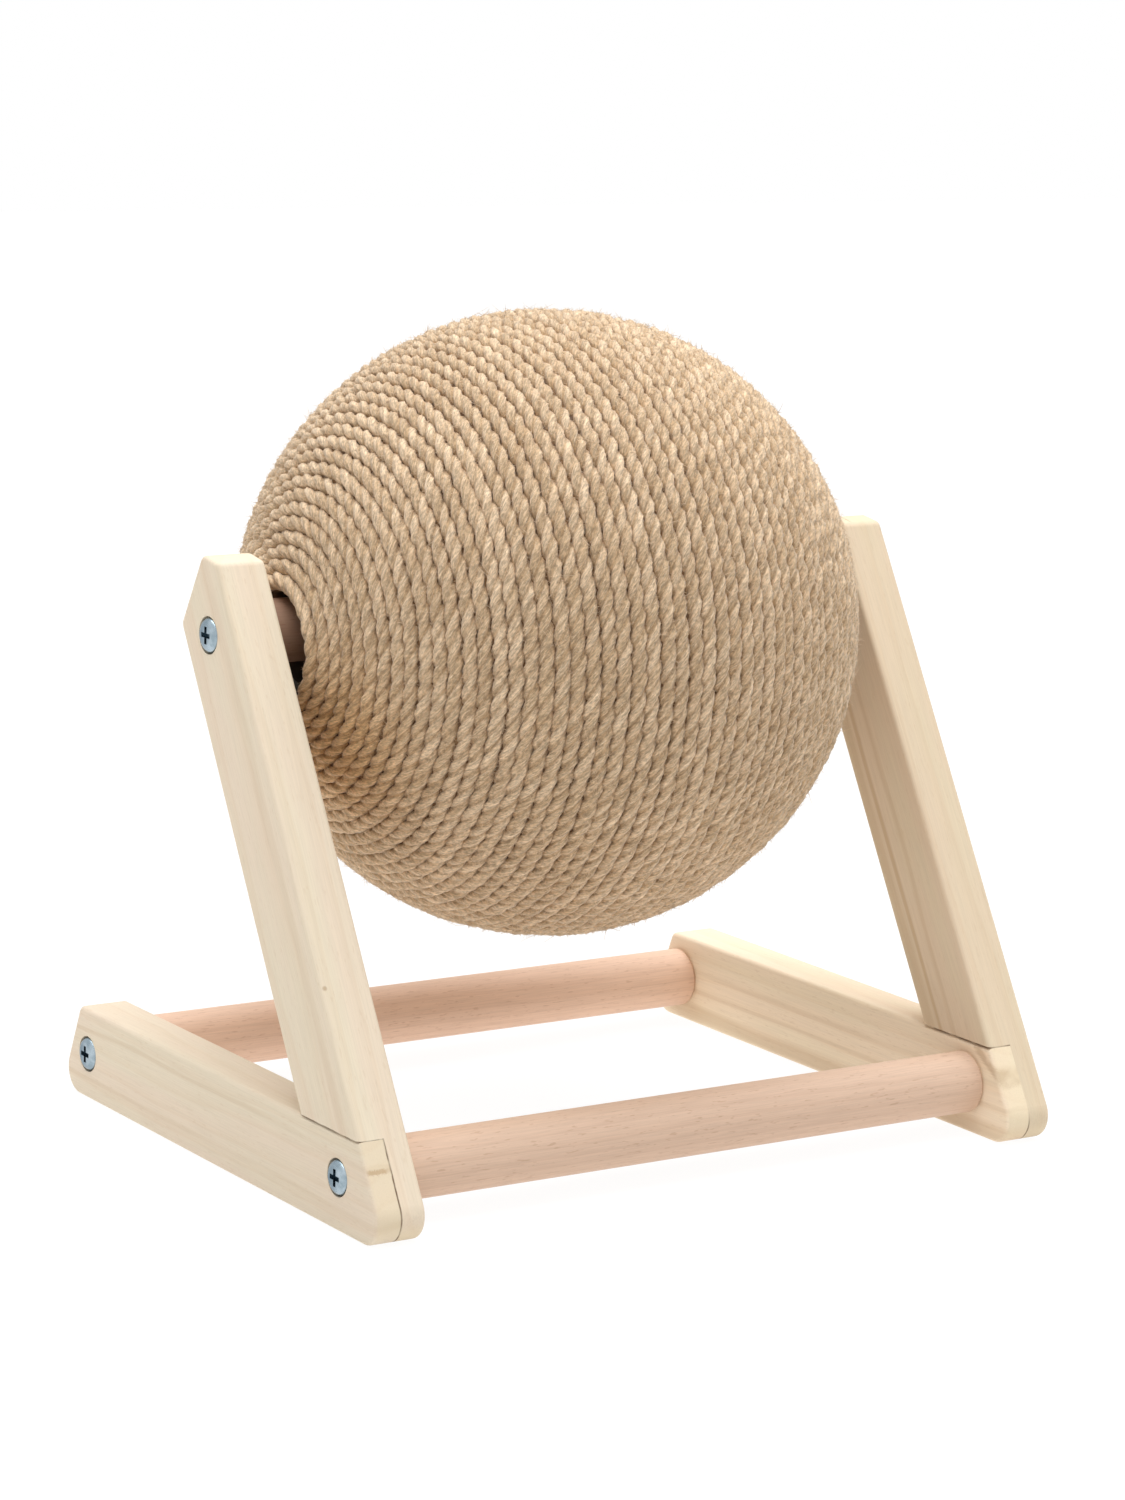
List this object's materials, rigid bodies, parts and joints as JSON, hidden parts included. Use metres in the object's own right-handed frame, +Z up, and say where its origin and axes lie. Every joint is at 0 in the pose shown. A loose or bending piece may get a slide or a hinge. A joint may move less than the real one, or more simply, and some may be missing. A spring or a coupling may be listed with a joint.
{
  "type": "cat scratching ball",
  "caption": "Free-standing wooden stand with lapped, back-leaning side frames joined by dowels, carrying a rope-wound ball that spins on a dowel for a cat to scratch and bat.",
  "frame": {"origin": "on the floor, under the middle of the part's box", "axes": "+X along the ball's axle to the right, +Y to the back, +Z up"},
  "size_m": [0.253, 0.2068, 0.2613],
  "materials": {
    "pine": "fine sanded, bare",
    "beech": "fine sanded, bare",
    "zinc": "bright zinc plate",
    "core_plastic": "moulded, dull",
    "jute": "twisted natural fibre"
  },
  "bodies": {
    "frame": {"left_rail": "pine", "left_upright": "pine", "right_rail": "pine", "right_upright": "pine", "front_dowel": "beech", "rear_dowel": "beech", "axle_dowel": "beech", "front_left_screw": "zinc", "front_right_screw": "zinc", "rear_left_screw": "zinc", "rear_right_screw": "zinc", "axle_left_screw": "zinc", "axle_right_screw": "zinc"},
    "ball": {"left_core_shell": "core_plastic", "right_core_shell": "core_plastic", "core_sleeve": "core_plastic", "rope_winding": "jute"}
  },
  "joints": [
    {"name": "ball_spin", "type": "hinge", "parent": "frame", "child": "ball", "pos_m": [-0.0037, 0.00344, 0.16137], "axis": [1, 0, 0], "continuous": true}
  ]
}
